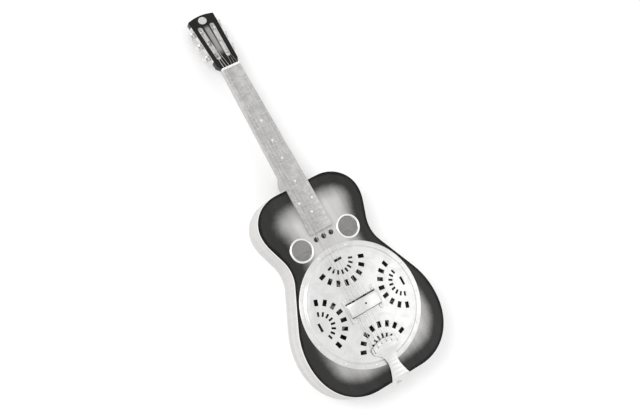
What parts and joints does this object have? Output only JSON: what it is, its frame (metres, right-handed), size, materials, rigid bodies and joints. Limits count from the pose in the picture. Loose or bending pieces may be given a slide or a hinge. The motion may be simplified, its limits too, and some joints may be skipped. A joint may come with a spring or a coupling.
{
  "type": "resonator guitar",
  "caption": "Acoustic resonator guitar with a sunburst wooden body, round pierced metal cover over a spun cone, two screened soundholes, square neck and slotted headstock with geared tuners.",
  "frame": {"origin": "on the flat back face, directly under the centre of the cone and cover plate", "axes": "+Y along the strings towards the headstock, +X towards the treble side, +Z out of the top"},
  "size_m": [0.369, 0.9921, 0.111],
  "materials": {
    "sunburst_top": "gloss lacquer, dark burst edge over a pale centre",
    "pale_maple": "satin lacquer",
    "inner_wood": "bare wood",
    "ivory_celluloid": "polished",
    "neck_maple": "satin lacquer",
    "dark_steel": "plain",
    "black_lacquer": "gloss black lacquer",
    "grey_fretboard": "oiled, worn pale",
    "nickel_silver": "polished",
    "pearl": "pearl, polished",
    "bone": "polished",
    "nickel_plate": "satin nickel plate",
    "spun_aluminium": "spun",
    "cast_aluminium": "as cast",
    "saddle_maple": "bare wood",
    "bright_ring": "polished",
    "woven_mesh": "woven wire",
    "wound_bronze": "wound",
    "plain_steel": "drawn wire",
    "pearloid": "marbled, polished",
    "gear_brass": "cut teeth",
    "pale_roller": "turned, polished"
  },
  "bodies": {
    "root": {"top_plate": "sunburst_top", "back_plate": "pale_maple", "bass_side": "pale_maple", "treble_side": "pale_maple", "linings": "inner_wood", "neck_block": "inner_wood", "tail_block": "inner_wood", "soundwell": "inner_wood", "braces": "inner_wood", "binding": "ivory_celluloid", "neck": "neck_maple", "heel_cap": "ivory_celluloid", "neck_bar": "dark_steel", "head_veneer": "black_lacquer", "fretboard": "grey_fretboard", "frets": "nickel_silver", "position_dots": "pearl", "head_inlay": "pearl", "nut": "bone", "cover_plate": "nickel_plate", "cover_screws": "nickel_silver", "hand_rest": "nickel_plate", "hand_rest_screws": "nickel_silver", "cone": "spun_aluminium", "spider": "cast_aluminium", "saddles": "saddle_maple", "tension_screw": "dark_steel", "tailpiece": "nickel_plate", "end_pin": "ivory_celluloid", "screen_rings": "bright_ring", "screen_meshes": "woven_mesh", "wound_strings": "wound_bronze", "plain_strings": "plain_steel", "tuner_plates": "nickel_plate", "plate_screws": "nickel_silver"},
    "key_1": {"worm_1": "plain_steel", "button_1": "pearloid"},
    "post_1": {"gear_1": "gear_brass", "roller_1": "pale_roller"},
    "key_2": {"worm_2": "plain_steel", "button_2": "pearloid"},
    "post_2": {"gear_2": "gear_brass", "roller_2": "pale_roller"},
    "key_3": {"worm_3": "plain_steel", "button_3": "pearloid"},
    "post_3": {"gear_3": "gear_brass", "roller_3": "pale_roller"},
    "key_4": {"worm_4": "plain_steel", "button_4": "pearloid"},
    "post_4": {"gear_4": "gear_brass", "roller_4": "pale_roller"},
    "key_5": {"worm_5": "plain_steel", "button_5": "pearloid"},
    "post_5": {"gear_5": "gear_brass", "roller_5": "pale_roller"},
    "key_6": {"worm_6": "plain_steel", "button_6": "pearloid"},
    "post_6": {"gear_6": "gear_brass", "roller_6": "pale_roller"}
  },
  "joints": [
    {"name": "key_1_turn", "type": "hinge", "parent": "root", "child": "key_1", "pos_m": [-0.03373, 0.68617, 0.06115], "axis": [0, 0.1219, 0.9925], "continuous": true},
    {"name": "post_1_turn", "type": "hinge", "parent": "root", "child": "post_1", "pos_m": [-0.01335, 0.67844, 0.0621], "axis": [0.9992, 0.0398, -0.0049], "continuous": true},
    {"name": "key_2_turn", "type": "hinge", "parent": "root", "child": "key_2", "pos_m": [-0.03506, 0.7192, 0.05709], "axis": [0, 0.1219, 0.9925], "continuous": true},
    {"name": "post_2_turn", "type": "hinge", "parent": "root", "child": "post_2", "pos_m": [-0.01469, 0.71147, 0.05804], "axis": [0.9992, 0.0398, -0.0049], "continuous": true},
    {"name": "key_3_turn", "type": "hinge", "parent": "root", "child": "key_3", "pos_m": [-0.0364, 0.75222, 0.05304], "axis": [0, 0.1219, 0.9925], "continuous": true},
    {"name": "post_3_turn", "type": "hinge", "parent": "root", "child": "post_3", "pos_m": [-0.01602, 0.74449, 0.05399], "axis": [0.9992, 0.0398, -0.0049], "continuous": true},
    {"name": "key_4_turn", "type": "hinge", "parent": "root", "child": "key_4", "pos_m": [0.0364, 0.75222, 0.05304], "axis": [0, 0.1219, 0.9925], "continuous": true},
    {"name": "post_4_turn", "type": "hinge", "parent": "root", "child": "post_4", "pos_m": [0.01602, 0.74449, 0.05399], "axis": [0.9992, -0.0398, 0.0049], "continuous": true},
    {"name": "key_5_turn", "type": "hinge", "parent": "root", "child": "key_5", "pos_m": [0.03506, 0.7192, 0.05709], "axis": [0, 0.1219, 0.9925], "continuous": true},
    {"name": "post_5_turn", "type": "hinge", "parent": "root", "child": "post_5", "pos_m": [0.01469, 0.71147, 0.05804], "axis": [0.9992, -0.0398, 0.0049], "continuous": true},
    {"name": "key_6_turn", "type": "hinge", "parent": "root", "child": "key_6", "pos_m": [0.03373, 0.68617, 0.06115], "axis": [0, 0.1219, 0.9925], "continuous": true},
    {"name": "post_6_turn", "type": "hinge", "parent": "root", "child": "post_6", "pos_m": [0.01335, 0.67844, 0.0621], "axis": [0.9992, -0.0398, 0.0049], "continuous": true}
  ],
  "couplings": [
    {"joint": "post_1_turn", "follows": "key_1_turn", "ratio": -0.071429},
    {"joint": "post_2_turn", "follows": "key_2_turn", "ratio": -0.071429},
    {"joint": "post_3_turn", "follows": "key_3_turn", "ratio": -0.071429},
    {"joint": "post_4_turn", "follows": "key_4_turn", "ratio": -0.071429},
    {"joint": "post_5_turn", "follows": "key_5_turn", "ratio": -0.071429},
    {"joint": "post_6_turn", "follows": "key_6_turn", "ratio": -0.071429}
  ]
}
